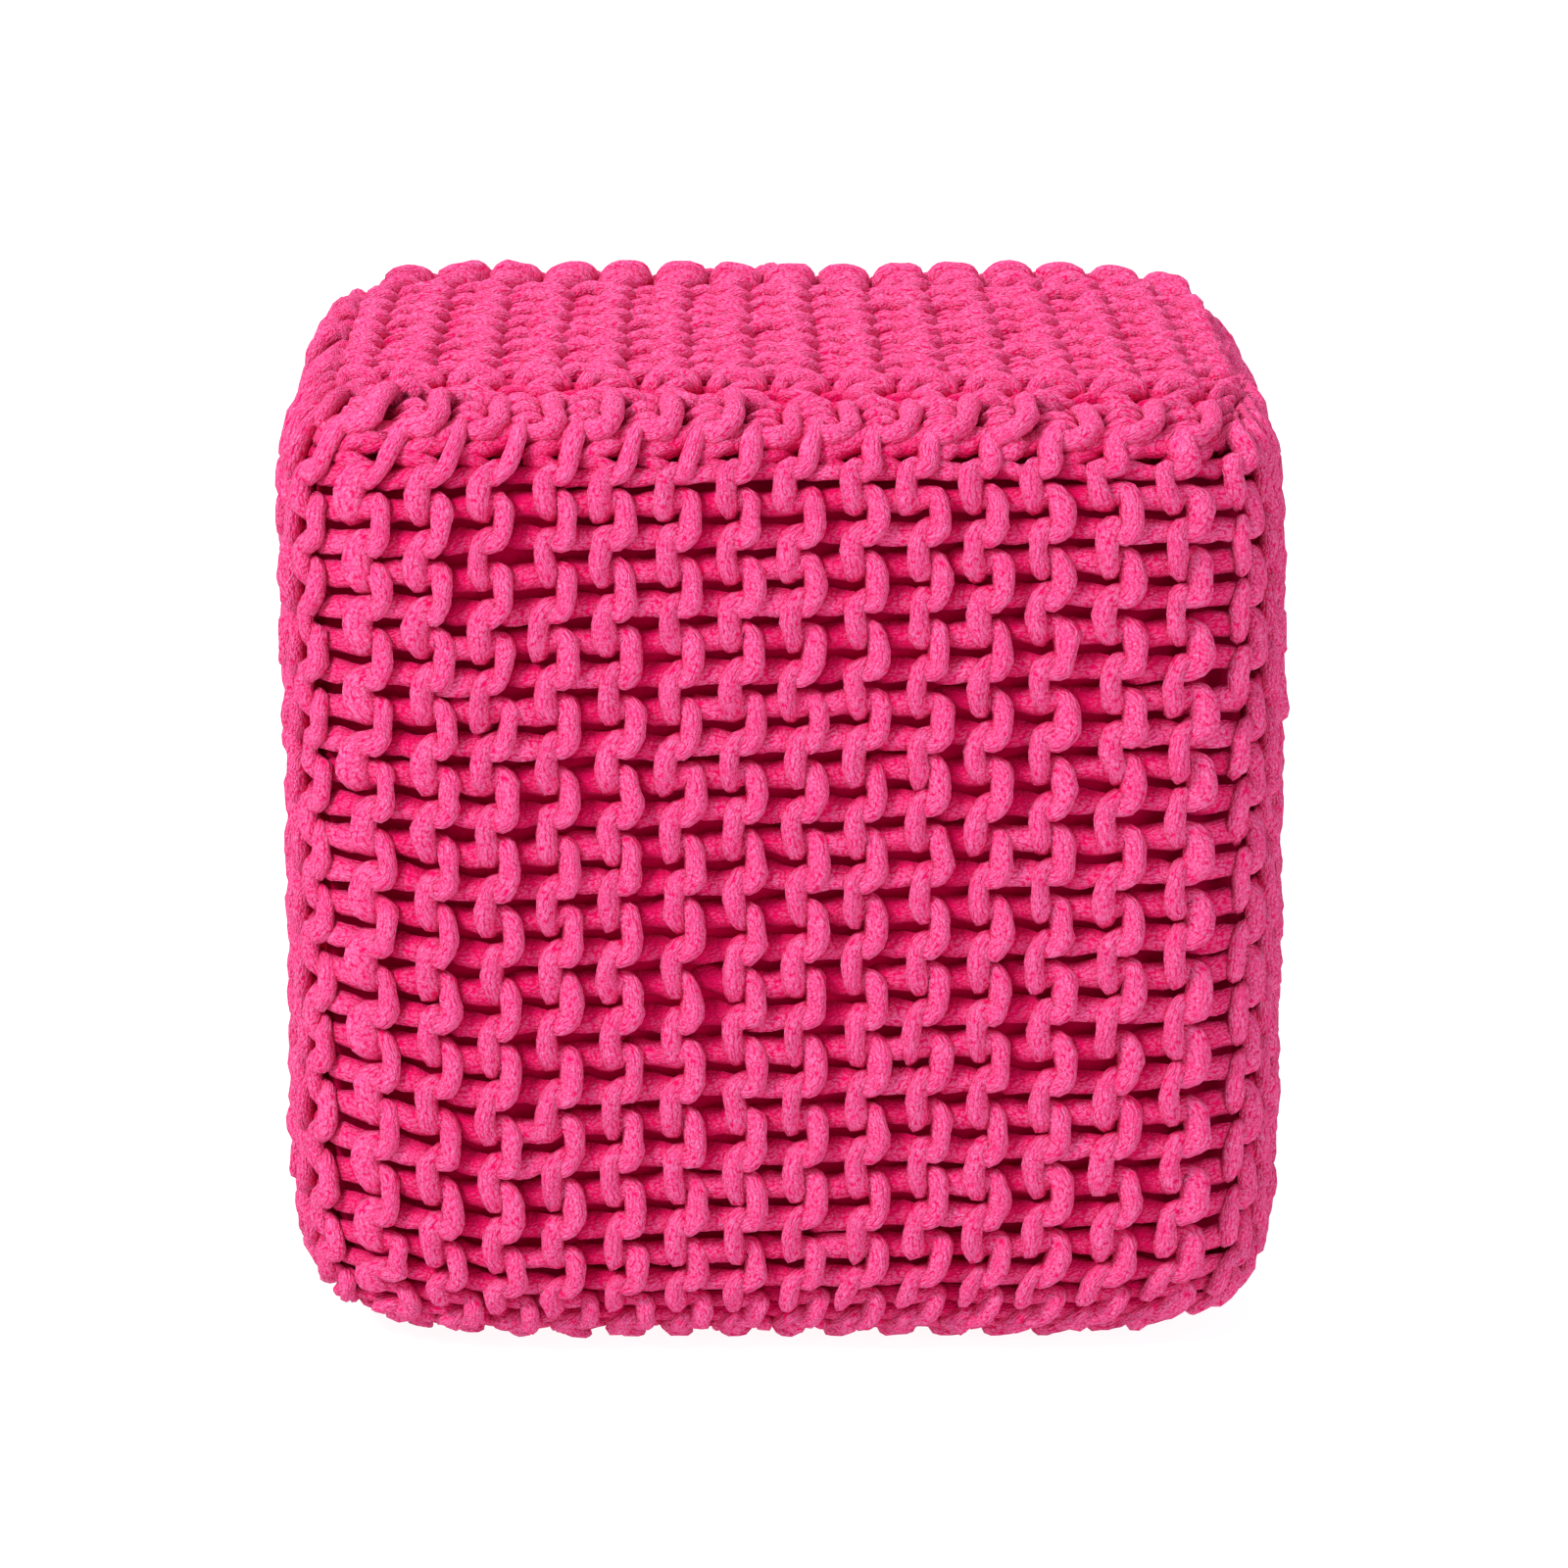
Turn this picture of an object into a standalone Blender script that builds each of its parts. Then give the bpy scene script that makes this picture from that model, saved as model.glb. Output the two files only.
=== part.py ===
"""Knitted pouf: a stuffed cube in a cover of chunky cotton yarn.

Metres, +Z up, and the front faces -Y. The origin is on the floor, under the middle of the pouf.

The cover is garter stitch turned on its side, so its ridges stand upright round the sides and run front to
back over the top and the bottom. Three pieces are sewn together on the rounded edges:

side_band      the stuffed body, with the strip of upright ridges that goes round it
top_square     the knitted square let into the top
bottom_square  the same square underneath, pressed flat by the weight of the pouf
"""

import bmesh
import bpy
import numpy as np

# The pouf over its yarn
WIDTH = 0.360
DEPTH = 0.356
HEIGHT = 0.344

# Its roundness: the powers of a superellipse, where 2 is an ellipse and more is squarer
PLAN_POWER = 6.6
TOP_POWER = 12.0
BASE_POWER = 9.5

# What the weight takes off the underside, which leaves it flat
FLATTENED = 0.002

# The ridges of the knit
RIDGES_A_SIDE = 15
RIDGE_DEPTH = 0.0055
RIDGE_DEPTH_BELOW = 0.0040
RIDGE_SHAPE = 3
RIDGE_STEPS = (0.0, 0.18, 0.5, 0.82)

# The seams, as shares of the way out to the rounded edges: the side turns over the front and back edges
# and comes further in there than at the left and right. The top is sewn in a little to the right.
SEAM_ACROSS = 0.94
SEAM_ALONG = 0.79
TOP_SHIFT = 0.006

# How thick the two squares are, and what parts them from the body
SQUARE_THICKNESS = 0.0185
GAP = 0.0004

# The stuffing has settled a little to one side
LEAN = -0.0020
TILT = -0.0026

# How finely the pieces are drawn
OUTLINE_STEPS = 7200
PANEL_ROWS = 14
BAND_HEIGHTS = (-0.94, -0.84, -0.62, -0.22, 0.22, 0.62, 0.84, 0.94)
EDGE_SHARES = (1.0, 0.5, 0.0)
SHARP_ANGLE = np.radians(50)
SAME_POINT = 0.00001

HALF_WIDTH = WIDTH / 2
HALF_DEPTH = DEPTH / 2
HALF_HEIGHT = (HEIGHT + FLATTENED) / 2
MIDDLE = HALF_HEIGHT - FLATTENED

YARN_PINK = (0.82, 0.030, 0.180, 1.0)
SHADED_PINK = (0.66, 0.018, 0.130, 1.0)
YARN_ROUGHNESS = 0.9


def clear_scene():
    for item in list(bpy.data.objects):
        bpy.data.objects.remove(item, do_unlink=True)


def collection_for(name):
    collection = bpy.data.collections.new(name)
    bpy.context.scene.collection.children.link(collection)
    return collection


def yarn(name, colour):
    """Dull cotton in one plain dye."""
    material = bpy.data.materials.new(name)
    material.use_nodes = True
    shader = material.node_tree.nodes["Principled BSDF"]
    shader.inputs["Base Color"].default_value = colour
    shader.inputs["Roughness"].default_value = YARN_ROUGHNESS
    shader.inputs["Metallic"].default_value = 0.0
    material.diffuse_color = colour
    return material


def plan_size(across):
    """How far out a plan point is, where 1 is the rounded square's edge."""
    return (np.abs(across) ** PLAN_POWER).sum(axis=-1) ** (1 / PLAN_POWER)


def outline_at(places):
    """Plan points round the rounded square, each place a share of the way round from its front left corner."""
    angle = np.linspace(-0.75 * np.pi, 1.25 * np.pi, OUTLINE_STEPS + 1)
    ring = np.stack([np.cos(angle), np.sin(angle)], axis=-1)
    ring /= plan_size(ring)[:, None]
    run = np.concatenate([[0.0], np.cumsum(np.linalg.norm(np.diff(ring, axis=0), axis=1))])
    at = np.mod(places, 1.0) * run[-1]
    return np.stack([np.interp(at, run, ring[:, 0]), np.interp(at, run, ring[:, 1])], axis=-1)


def body_surface(across, up):
    """Where a ray from the middle of the pouf leaves it, and the way out of the surface there."""
    size = plan_size(across)
    power = np.where(up > 0, TOP_POWER, BASE_POWER)
    reach = (size**power + np.abs(up) ** power) ** (1 / power)
    plan = across / reach[:, None]
    height = up / reach
    slope = plan_size(plan) ** (power - PLAN_POWER)
    steep = np.sign(plan) * np.abs(plan) ** (PLAN_POWER - 1) * slope[:, None]
    level = np.sign(height) * np.abs(height) ** (power - 1)
    out = np.stack([steep[:, 0] / HALF_WIDTH, steep[:, 1] / HALF_DEPTH, level / HALF_HEIGHT], axis=-1)
    out /= np.linalg.norm(out, axis=1, keepdims=True)
    points = np.stack([plan[:, 0] * HALF_WIDTH, plan[:, 1] * HALF_DEPTH, MIDDLE + height * HALF_HEIGHT], axis=-1)
    return points, out


def seam_plan(plan, share, up):
    """Draws plan points in from the rounded edge, at share 0, to the seam of the top or bottom, at share 1."""
    seam = plan * np.array([SEAM_ACROSS, SEAM_ALONG])
    if up > 0:
        seam = seam + np.array([TOP_SHIFT / HALF_WIDTH, 0.0])
    return plan * (1 - share) + seam * share


def ridge_places(count):
    """Places across a row of ridges, counted in ridges from the first groove."""
    return np.array([ridge + step for ridge in range(count) for step in RIDGE_STEPS] + [count])


def groove(places):
    """How far a ridge falls away: 0 on its crest, 1 in the groove."""
    return np.abs(2 * np.mod(places, 1.0) - 1) ** RIDGE_SHAPE


def settled(points):
    """The lean of the upper half, and the top a little higher on its left."""
    share = np.clip((points[:, 2] - MIDDLE) / HALF_HEIGHT, 0, None)
    moved = points.copy()
    moved[:, 0] += LEAN * share**2
    moved[:, 2] += TILT * share * points[:, 0] / HALF_WIDTH
    return moved


def grid_mesh(columns, rows):
    """A flat grid, with its points in order: row by row, and left to right."""
    sheet = bmesh.new()
    bmesh.ops.create_grid(sheet, x_segments=columns, y_segments=rows, size=1.0)
    points = sorted(sheet.verts, key=lambda point: (round(point.co.y, 6), point.co.x))
    return sheet, points


def place(points, coordinates):
    for point, coordinate in zip(points, coordinates):
        point.co = coordinate


def close_at(sheet, edges, height):
    """Draws an open edge straight up or down to a height, and fills it there."""
    drawn = bmesh.ops.extrude_edge_only(sheet, edges=edges)["geom"]
    rim = [item for item in drawn if isinstance(item, bmesh.types.BMEdge) and item.is_boundary]
    for point in {point for edge in rim for point in edge.verts}:
        point.co.z = height
    bmesh.ops.edgeloop_fill(sheet, edges=rim)


def finish(sheet, name, material, collection):
    """Lets the closed shape settle, and makes an object of it."""
    bmesh.ops.recalc_face_normals(sheet, faces=sheet.faces)
    bmesh.ops.triangulate(sheet, faces=sheet.faces)
    sheet.verts.ensure_lookup_table()
    place(sheet.verts, settled(np.array([point.co for point in sheet.verts])))
    mesh = bpy.data.meshes.new(name)
    sheet.to_mesh(mesh)
    sheet.free()
    mesh.shade_smooth()
    mesh.set_sharp_from_angle(angle=SHARP_ANGLE)
    mesh.materials.append(material)
    item = bpy.data.objects.new(name, mesh)
    collection.objects.link(item)
    return item


def side_band(material, collection):
    """The stuffed body, from seam to seam over both rounded edges."""
    ridges = 4 * RIDGES_A_SIDE
    places = ridge_places(ridges)
    ring = outline_at((places - 0.5) / ridges)
    below = [(share, -1.0) for share in EDGE_SHARES]
    beside = [(0.0, height) for height in BAND_HEIGHTS]
    above = [(share, 1.0) for share in reversed(EDGE_SHARES)]
    profile = below + beside + above

    rows = []
    for share, up in profile:
        points, out = body_surface(seam_plan(ring, share, up), np.full(len(ring), up))
        if share == 1.0 or up == 1.0:
            # at the seams and all over the upper edge the grooves are cut straight down, so that none
            # of them reaches in past the seam at the right, where the top comes out almost to the edge
            out = np.array([[0.0, 0.0, np.sign(up)]])
        depth = RIDGE_DEPTH if up > -1 or share == 0 else RIDGE_DEPTH_BELOW
        points -= out * (depth * groove(places))[:, None]
        points[:, 2] = np.maximum(points[:, 2], 0.0)
        rows.append(points)

    sheet, grid = grid_mesh(len(places) - 1, len(profile) - 1)
    place(grid, np.concatenate(rows))
    bmesh.ops.remove_doubles(sheet, verts=sheet.verts, dist=SAME_POINT)
    rims = [edge for edge in sheet.edges if edge.is_boundary]
    for up, height in ((-1, SQUARE_THICKNESS + GAP), (1, HEIGHT - SQUARE_THICKNESS - GAP)):
        rim = [edge for edge in rims if (edge.verts[0].co.z - MIDDLE) * up > 0]
        close_at(sheet, rim, height)
    return finish(sheet, "side_band", material, collection)


def square(name, up, depth, inner_height, material, collection):
    """A knitted square, let into the body inside its seam."""
    places = ridge_places(RIDGES_A_SIDE)
    across = 2 * places / RIDGES_A_SIDE - 1
    along = np.sin(np.linspace(-0.5, 0.5, PANEL_ROWS + 1) * np.pi)
    plan = np.stack(np.meshgrid(across, along), axis=-1).reshape(-1, 2)
    # rounds the corners off smoothly, and leaves the middles of the sides where they are
    plan = plan * (1 - np.abs(plan[:, ::-1]) ** PLAN_POWER / 2) ** (1 / PLAN_POWER)
    points, _ = body_surface(seam_plan(plan, 1.0, up), np.full(len(plan), float(up)))
    points[:, :2] -= plan * GAP
    points[:, 2] -= up * depth * np.tile(groove(places), len(along))
    points[:, 2] = np.maximum(points[:, 2], 0.0)

    sheet, grid = grid_mesh(len(across) - 1, len(along) - 1)
    place(grid, points)
    close_at(sheet, [edge for edge in sheet.edges if edge.is_boundary], inner_height)
    return finish(sheet, name, material, collection)


def build():
    clear_scene()
    collection = collection_for("knitted_pouf")
    side_band(yarn("side yarn", YARN_PINK), collection)
    top_inside = HEIGHT - SQUARE_THICKNESS
    square("top_square", 1, RIDGE_DEPTH, top_inside, yarn("top yarn", YARN_PINK), collection)
    shaded = yarn("underside yarn", SHADED_PINK)
    square("bottom_square", -1, RIDGE_DEPTH_BELOW, SQUARE_THICKNESS, shaded, collection)


build()
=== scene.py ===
"""Looks of a knitted pouf: a stuffed cube in a cover of chunky pink cotton yarn, in garter stitch."""

import math

import bmesh
import bpy
import numpy as np
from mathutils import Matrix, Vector


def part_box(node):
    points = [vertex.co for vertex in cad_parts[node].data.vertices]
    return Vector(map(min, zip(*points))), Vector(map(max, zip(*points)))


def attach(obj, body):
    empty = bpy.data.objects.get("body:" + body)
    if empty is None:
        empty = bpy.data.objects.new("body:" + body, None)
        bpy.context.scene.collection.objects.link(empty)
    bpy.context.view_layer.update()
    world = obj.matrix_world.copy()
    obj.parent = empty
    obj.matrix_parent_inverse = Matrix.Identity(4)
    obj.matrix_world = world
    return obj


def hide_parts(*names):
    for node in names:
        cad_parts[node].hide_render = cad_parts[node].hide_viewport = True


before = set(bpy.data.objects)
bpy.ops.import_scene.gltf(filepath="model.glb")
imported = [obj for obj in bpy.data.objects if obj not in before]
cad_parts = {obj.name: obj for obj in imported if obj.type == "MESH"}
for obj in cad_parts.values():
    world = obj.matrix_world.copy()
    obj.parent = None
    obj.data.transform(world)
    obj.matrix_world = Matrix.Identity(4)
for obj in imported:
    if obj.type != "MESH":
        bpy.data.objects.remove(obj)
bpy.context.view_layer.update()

# ---- The pouf's own surface -------------------------------------------------------------------------------
# A real pouf of this kind is an inner bag of filling, and the cover is pulled over it and sewn shut. The
# filling rounds every edge of the cube, crowns its sides and leans it a little, and all the yarn below lies
# on that surface.

ROOT = "root"
# its roundness: the powers of a superellipse, where 2 is an ellipse and more is squarer
PLAN_POWER = 6.6
TOP_POWER = 12.0
BASE_POWER = 9.5
# how far the top leans and tilts, and what the weight takes off the underside, in metres
LEAN = -0.0020
TILT = -0.0026
FLATTENED = 0.002
# where the two seams run, as shares of the way out to the rounded edges, and the top's own shift in metres
SEAM = np.array([0.94, 0.79])
TOP_SHIFT = np.array([0.006, 0.0])
OUTLINE_STEPS = 7200

side_low, side_high = (np.array(corner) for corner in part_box("side_band"))
HALF_PLAN = np.array([side_high[0], side_high[1]])
HALF_HEIGHT = (side_high[2] + TILT / 2 + FLATTENED) / 2
MIDDLE = HALF_HEIGHT - FLATTENED


def plan_size(plan):
    """How far out a plan point is, where 1 is the rounded square's edge."""
    return (np.abs(plan) ** PLAN_POWER).sum(axis=-1) ** (1 / PLAN_POWER)


def body_point(plan, up):
    """Where a ray from the middle of the pouf leaves it."""
    power = np.where(up > 0, TOP_POWER, BASE_POWER)
    reach = (plan_size(plan) ** power + np.abs(up) ** power) ** (1 / power)
    flat = plan / reach[..., None] * HALF_PLAN
    share = up / reach
    x = flat[..., 0] + LEAN * np.clip(share, 0, None) ** 2
    z = MIDDLE + share * HALF_HEIGHT + TILT * np.clip(share, 0, None) * flat[..., 0] / HALF_PLAN[0]
    return np.stack([x, flat[..., 1], np.maximum(z, 0.0)], axis=-1)


def outline(places):
    """Plan points round the rounded edge, each place a share of the way round from the front left corner."""
    angle = np.linspace(-0.75 * np.pi, 1.25 * np.pi, OUTLINE_STEPS + 1)
    ring = np.stack([np.cos(angle), np.sin(angle)], axis=-1)
    ring /= plan_size(ring)[:, None]
    run = np.concatenate([[0.0], np.cumsum(np.linalg.norm(np.diff(ring, axis=0), axis=1))])
    at = np.mod(places, 1.0) * run[-1]
    return np.stack([np.interp(at, run, ring[:, 0]), np.interp(at, run, ring[:, 1])], axis=-1)


def seam_plan(plan, share, up):
    """Draws plan points in from the rounded edge, at share 0, to the seam, at share 1."""
    shift = np.where(np.asarray(up)[..., None] > 0, TOP_SHIFT / HALF_PLAN, 0.0)
    return plan * (1 - share) + (plan * SEAM + shift) * share


class Skin:
    """A stretch of the pouf's surface, ruled in ridges across and rows along."""

    def __init__(self, points, ridges, rows, joined):
        self.points = points
        self.size = np.array([ridges, rows])
        self.joined = joined
        along = np.gradient(points, axis=0)
        across = np.gradient(points, axis=1)
        if joined:
            across[:, 0] = across[:, -1] = points[:, 1] - points[:, -2]
        out = np.cross(across, along)
        self.out = out / np.linalg.norm(out, axis=-1, keepdims=True)

    def at(self, ridge, row, lift):
        """Points on the surface, lifted off it."""
        steps = np.array(self.points.shape[:2]) - 1
        row_at = row / self.size[1] * steps[0]
        ridge_at = ridge / self.size[0] * steps[1]
        if self.joined:
            ridge_at = np.mod(ridge_at, steps[1])
        r0 = np.clip(np.floor(row_at).astype(int), 0, steps[0] - 1)
        c0 = np.clip(np.floor(ridge_at).astype(int), 0, steps[1] - 1)
        r, c = (row_at - r0)[..., None], (ridge_at - c0)[..., None]

        def blend(grid):
            low = grid[r0, c0] * (1 - c) + grid[r0, c0 + 1] * c
            high = grid[r0 + 1, c0] * (1 - c) + grid[r0 + 1, c0 + 1] * c
            return low * (1 - r) + high * r

        out = blend(self.out)
        out /= np.linalg.norm(out, axis=-1, keepdims=True)
        return blend(self.points) + out * lift[..., None]


# ---- The yarn ---------------------------------------------------------------------------------------------
# Chunky cotton yarn, about 7 mm thick and flattened to 10 mm where it is pulled tight: a soft tube of fine
# threads, itself knitted in little loops, dyed hot pink all through. Its face is dull and slightly fuzzy.

# the yarn's face; a deeper pink painted as shade in the gaps between its threads and where the yarn lies
# deep; and a paler pink, partly paler fibres and partly painted highlight where the fuzz catches the light
YARN_PINK = (0.90, 0.044, 0.225, 1.0)
YARN_PAINTED_SHADE = (0.78, 0.003, 0.115, 1.0)
YARN_PALE_AND_HIGHLIGHT = (0.96, 0.240, 0.520, 1.0)
YARN_ROUGHNESS = 0.9
YARN_SHINE = 0.05
SHEEN = 0.04
SHEEN_ROUGHNESS = 0.45
SHEEN_PINK = (1.0, 0.60, 0.85, 1.0)
# from this depth below the surface on, in mm, painted shade darkens the yarn by this share a mm
SHALLOW = 2.4
SHADE_PER_MM = 0.210
# the fine loops: how many go round the yarn, how many fill one unit of its length, and how they stray
UNIT_LENGTH = 0.0031
LOOPS_ROUND = 25
LOOPS_ALONG = 1.9
LOOP_STRAY = (1.6, 0.9)
LOOP_RANDOMNESS = 0.85
# how steeply a loop falls away from its middle, and how the gaps widen between the loops
LOOP_FALL = 1.35
GAP_REACH = 1.25
GAP_POWER = 2.6
# the sizes of the noises, in waves a metre, and how the fibres are drawn out along the yarn
STRAY_SCALE = 420.0
FUZZ_SCALE = 1500.0
CLUMP_SCALE = 170.0
FIBRE_SCALE = (30.0, 2.4, 1.0)
# how strongly the fibres, clumps and fuzz pale the yarn, as paler fibres and as painted highlight, and how
# much of it is pale
PALE_SHARES = (0.34, 0.16, 0.50)
PALE_CONTRAST = 5.5
PALE_MIDDLE = 0.40
# how much painted shade darkens the gaps, and how much more where the clumps of fibre are thick
GAP_SHADE = (0.55, 1.1)
# how high the threads, fibres and fuzz stand, as shares of the relief in metres
RELIEF_SHARES = (0.72, 0.15, 0.70)
RELIEF = 0.0010


class Value:
    """A number or a colour in a material's nodes, which Python's own signs work on."""

    def __init__(self, nodes, socket):
        self.nodes = nodes
        self.socket = socket

    def maths(self, operation, *others):
        values = {place: value for place, value in enumerate([self, *others])}
        return self.nodes.add("ShaderNodeMath", {"operation": operation}, values)

    def __add__(self, other):
        return self.maths("ADD", other)

    def __mul__(self, other):
        return self.maths("MULTIPLY", other)

    def __sub__(self, other):
        return self.maths("SUBTRACT", other)

    def __rsub__(self, other):
        return self.nodes.add("ShaderNodeMath", {"operation": "SUBTRACT"}, {0: other, 1: self})

    def __pow__(self, other):
        return self.maths("POWER", other)


class Nodes:
    """A new material, and the one way in which nodes are added to it."""

    def __init__(self, name):
        self.material = bpy.data.materials.new(name)
        self.material.use_nodes = True
        self.tree = self.material.node_tree
        self.shader = self.tree.nodes["Principled BSDF"]

    def fill(self, node, inputs):
        for name, value in inputs.items():
            if isinstance(value, Value):
                self.tree.links.new(value.socket, node.inputs[name])
            else:
                node.inputs[name].default_value = value

    def add(self, kind, settings, inputs, output=0):
        node = self.tree.nodes.new(kind)
        for name, value in settings.items():
            setattr(node, name, value)
        self.fill(node, inputs)
        return Value(self, node.outputs[output])

    def mix(self, share, first, second):
        settings = {"data_type": "RGBA"}
        return self.add("ShaderNodeMix", settings, {0: share, 6: first, 7: second}, 2)

    def noise(self, vector, scale, detail=2.0, rough=0.5):
        inputs = {"Vector": vector, "Scale": scale, "Detail": detail, "Roughness": rough}
        return self.add("ShaderNodeTexNoise", {}, inputs, "Fac")


def yarn_material():
    nodes = Nodes("pink cotton yarn")
    place = nodes.add("ShaderNodeTexCoord", {}, {}, "Object")
    yarn = nodes.add("ShaderNodeUVMap", {"uv_map": "yarn"}, {}, "UV")
    round_yarn = nodes.add("ShaderNodeSeparateXYZ", {}, {0: yarn}, "X")
    along_yarn = nodes.add("ShaderNodeSeparateXYZ", {}, {0: yarn}, "Y")
    depth = nodes.add("ShaderNodeAttribute", {"attribute_name": "depth"}, {}, "Fac")

    # the fine loops of thread, none quite like the next
    stray = nodes.noise(place, STRAY_SCALE, 2.0, 0.6) - 0.5
    warped = nodes.add("ShaderNodeCombineXYZ", {}, {
        "X": round_yarn * LOOPS_ROUND + stray * LOOP_STRAY[0],
        "Y": along_yarn * LOOPS_ALONG + stray * LOOP_STRAY[1],
    })
    settings = {"voronoi_dimensions": "2D", "feature": "F1"}
    inputs = {"Vector": warped, "Scale": 1.0, "Randomness": LOOP_RANDOMNESS}
    cells = nodes.add("ShaderNodeTexVoronoi", settings, inputs, "Distance")
    threads = (1 - cells * LOOP_FALL).maths("MAXIMUM", 0.0)
    gaps = (cells * GAP_REACH) ** GAP_POWER

    # the single fibres, drawn out along the yarn, and the fuzz that stands off them
    drawn_out = nodes.add("ShaderNodeVectorMath", {"operation": "MULTIPLY"}, {0: yarn, 1: FIBRE_SCALE})
    fibres = nodes.noise(drawn_out, 1.0, 2.0, 0.6)
    fuzz = nodes.noise(place, FUZZ_SCALE, 3.0, 0.7)
    clumps = nodes.noise(place, CLUMP_SCALE, 2.0)

    # pale at random, partly paler fibres and partly painted highlight on the fuzz; painted shade in the gaps
    # between threads and where the yarn lies deep between the ridges
    by_fibres, by_clumps, by_fuzz = PALE_SHARES
    light = fibres * by_fibres + clumps * by_clumps + fuzz * by_fuzz
    light = (light - 0.5) * PALE_CONTRAST + PALE_MIDDLE
    colour = nodes.mix(light.maths("MINIMUM", 1.0).maths("MAXIMUM", 0.0), YARN_PINK, YARN_PALE_AND_HIGHLIGHT)
    # painted shade, growing with how deep the yarn lies
    sunk = ((depth - SHALLOW) * SHADE_PER_MM).maths("MAXIMUM", 0.0)
    shade, more = GAP_SHADE
    painted_shade = (gaps * (clumps * more + shade) + sunk).maths("MINIMUM", 1.0)
    colour = nodes.mix(painted_shade, colour, YARN_PAINTED_SHADE)

    of_threads, of_fibres, of_fuzz = RELIEF_SHARES
    height = threads * of_threads + fibres * of_fibres + fuzz * of_fuzz
    bump = nodes.add("ShaderNodeBump", {}, {"Strength": 1.0, "Distance": RELIEF, "Height": height}, "Normal")
    nodes.fill(nodes.shader, {
        "Base Color": colour,
        "Normal": bump,
        "Roughness": YARN_ROUGHNESS,
        "Specular IOR Level": YARN_SHINE,
        "Sheen Weight": SHEEN,
        "Sheen Roughness": SHEEN_ROUGHNESS,
        "Sheen Tint": SHEEN_PINK,
    })
    return nodes.material


yarn = yarn_material()

# how a strand is drawn: one ring to this length of yarn, or to this much of a turn, with this many sides
STEP_LENGTH = 0.0040
STEP_TURN = 0.45
STRAND_SIDES = 8
FINE_STEPS = 24
SAME_POINT = 1e-6


def smooth_path(points, steps):
    """Rings along a smooth curve through a few given points, closest together where it bends.

    Gives the middle of each ring, its half width and half thickness, and how far along the yarn it is.
    """
    points = np.array(points, float)
    ends = np.vstack([2 * points[0] - points[1], points, 2 * points[-1] - points[-2]])
    fine = []
    for a, b, c, d in zip(ends, ends[1:], ends[2:], ends[3:]):
        t = np.linspace(0, 1, FINE_STEPS, endpoint=False)[:, None]
        bend = (2 * a - 5 * b + 4 * c - d) * t**2 + (3 * b - a - 3 * c + d) * t**3
        fine.append((2 * b + (c - a) * t + bend) / 2)
    fine = np.vstack([*fine, points[-1:]])
    step = np.diff(fine[:, :3], axis=0)
    length = np.linalg.norm(step, axis=1)
    heading = step / length[:, None]
    turn = np.linalg.norm(np.diff(heading, axis=0, prepend=heading[:1]), axis=1)
    spacing = np.concatenate([[0.0], np.cumsum(length / STEP_LENGTH + turn / STEP_TURN)])
    even = np.linspace(0, spacing[-1], steps + 1)
    path = np.stack([np.interp(even, spacing, fine[:, axis]) for axis in range(5)], axis=-1)
    run = np.interp(even, spacing, np.concatenate([[0.0], np.cumsum(length)]))
    return path[:, :3], path[:, 3:] / 2, run


def strand(sheet, points, steps):
    """A strand of yarn: a flat grid rolled up round a path, with its ends closed."""
    path, radius, run = smooth_path(points, steps)
    sides = STRAND_SIDES
    made = bmesh.ops.create_grid(sheet, x_segments=sides, y_segments=steps, size=0.5, calc_uvs=True)["verts"]
    grid = sorted(made, key=lambda point: (round(point.co.y, 6), point.co.x))
    layer = sheet.loops.layers.uv.active
    for face in {face for point in made for face in point.link_faces}:
        for loop in face.loops:
            loop[layer].uv.y = run[round(loop[layer].uv.y * steps)] / UNIT_LENGTH
    heading = np.gradient(path, axis=0)
    heading /= np.linalg.norm(heading, axis=1, keepdims=True)
    side = np.cross(heading[0], [0.0, 0.0, 1.0])
    for step in range(steps + 1):
        side -= heading[step] * (side @ heading[step])
        side /= np.linalg.norm(side)
        other = np.cross(side, heading[step])
        for turn in range(sides + 1):
            angle = 2 * math.pi * turn / sides
            ring = side * math.cos(angle) * radius[step][0] + other * math.sin(angle) * radius[step][1]
            grid[step * (sides + 1) + turn].co = path[step] + ring
    bmesh.ops.remove_doubles(sheet, verts=made, dist=SAME_POINT)
    rims = [edge for edge in sheet.edges if edge.is_boundary]
    bmesh.ops.holes_fill(sheet, edges=rims, sides=0)


# ---- One stitch -------------------------------------------------------------------------------------------
# Garter stitch on its side. Each ridge is a row of bowed heads, open to the left, and a row of bowed loops,
# open to the right, half a stitch further down. The ends of each go down behind the other. The legs of the
# heads run left in the groove, and go in behind the ridge beside them.

STITCH_WIDTH = 0.0223
STITCH_LENGTH = 0.0243
MM = 0.001

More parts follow.
